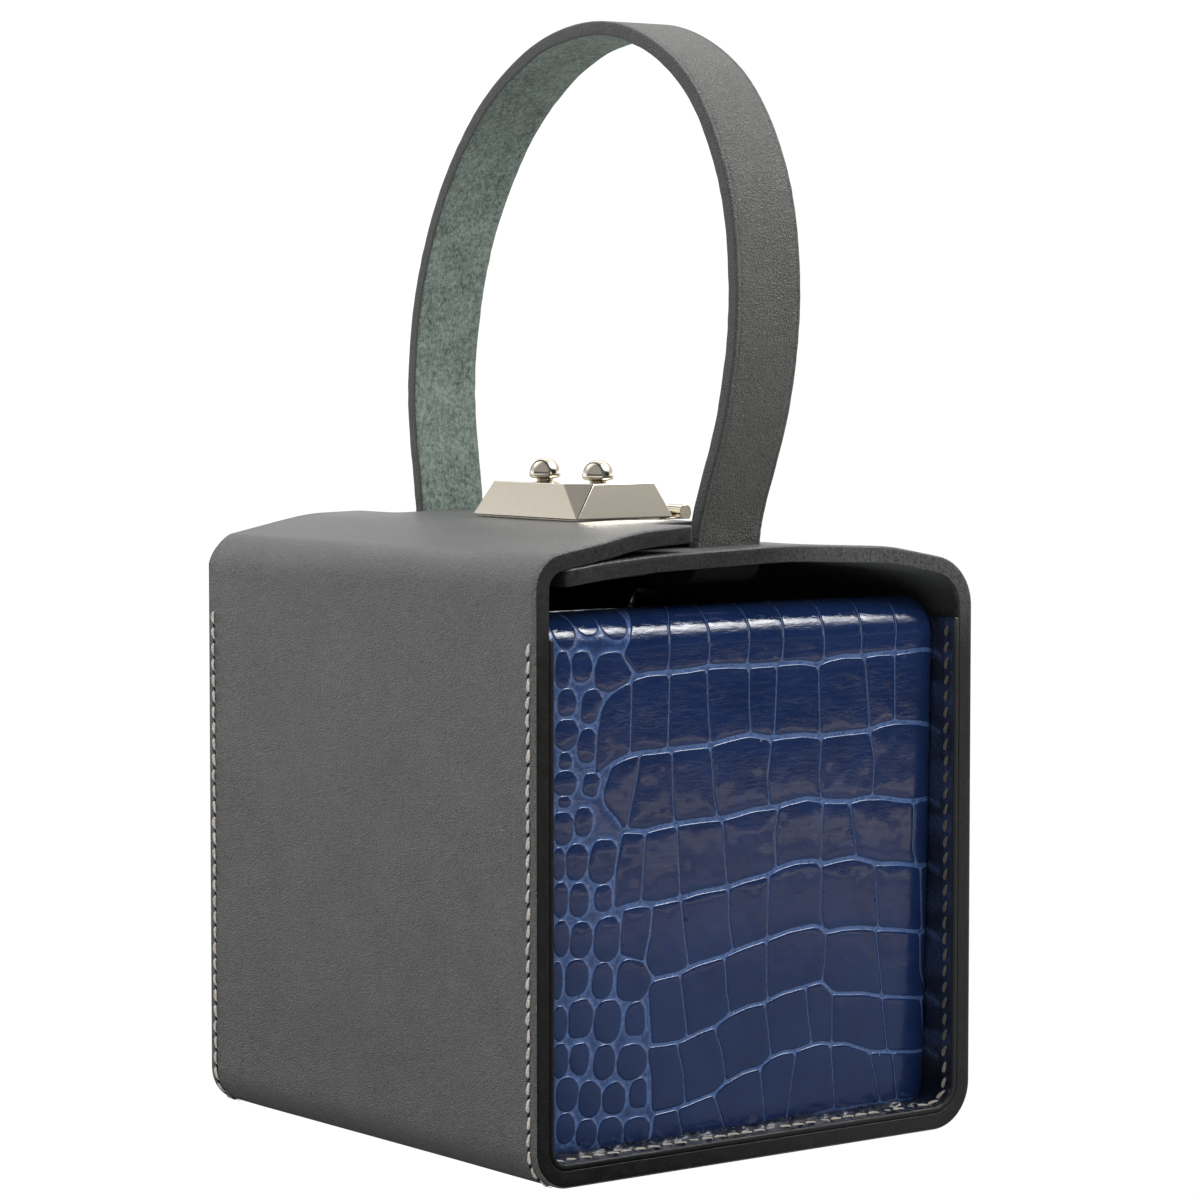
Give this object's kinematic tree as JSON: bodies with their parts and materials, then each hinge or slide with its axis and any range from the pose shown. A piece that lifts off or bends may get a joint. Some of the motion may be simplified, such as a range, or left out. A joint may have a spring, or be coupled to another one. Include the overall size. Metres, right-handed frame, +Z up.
{
  "type": "leather box bag",
  "caption": "Cube-shaped leather box bag with a tall loop strap handle, overlapping top flaps, embossed gusset panels and a hinged metal clasp.",
  "frame": {"origin": "middle of the flat bottom, on the surface that the bag stands on, halfway between the left and right walls and between the front and back cut edges of the band", "axes": "+Z up, towards the top of the handle; the front gusset faces -Y and the back gusset +Y; the upper flap comes from the -X wall and the clasp cover's hinge is on its +X side"},
  "size_m": [0.13, 0.137, 0.2638],
  "materials": {
    "grey_leather": "smooth fine-grain calf, satin, with dark painted cut edges and a grey-green suede back",
    "blue_croc_leather": "glossy navy crocodile-grain leather with lighter blue creases between the scales",
    "polished_nickel": "polished warm nickel plate"
  },
  "bodies": {
    "bag": {"leather_band": "grey_leather", "front_gusset": "blue_croc_leather", "back_gusset": "blue_croc_leather", "handle_strap": "grey_leather", "clasp_plate": "polished_nickel", "hinge_pin": "polished_nickel", "latch_post": "polished_nickel"},
    "cover": {"clasp_cover": "polished_nickel", "knob_front": "polished_nickel", "knob_back": "polished_nickel"}
  },
  "joints": [
    {"name": "clasp_hinge", "type": "hinge", "parent": "bag", "child": "cover", "pos_m": [0.0146, 0, 0.14745], "axis": [0, 1, 0], "range_deg": [0, 110]}
  ]
}
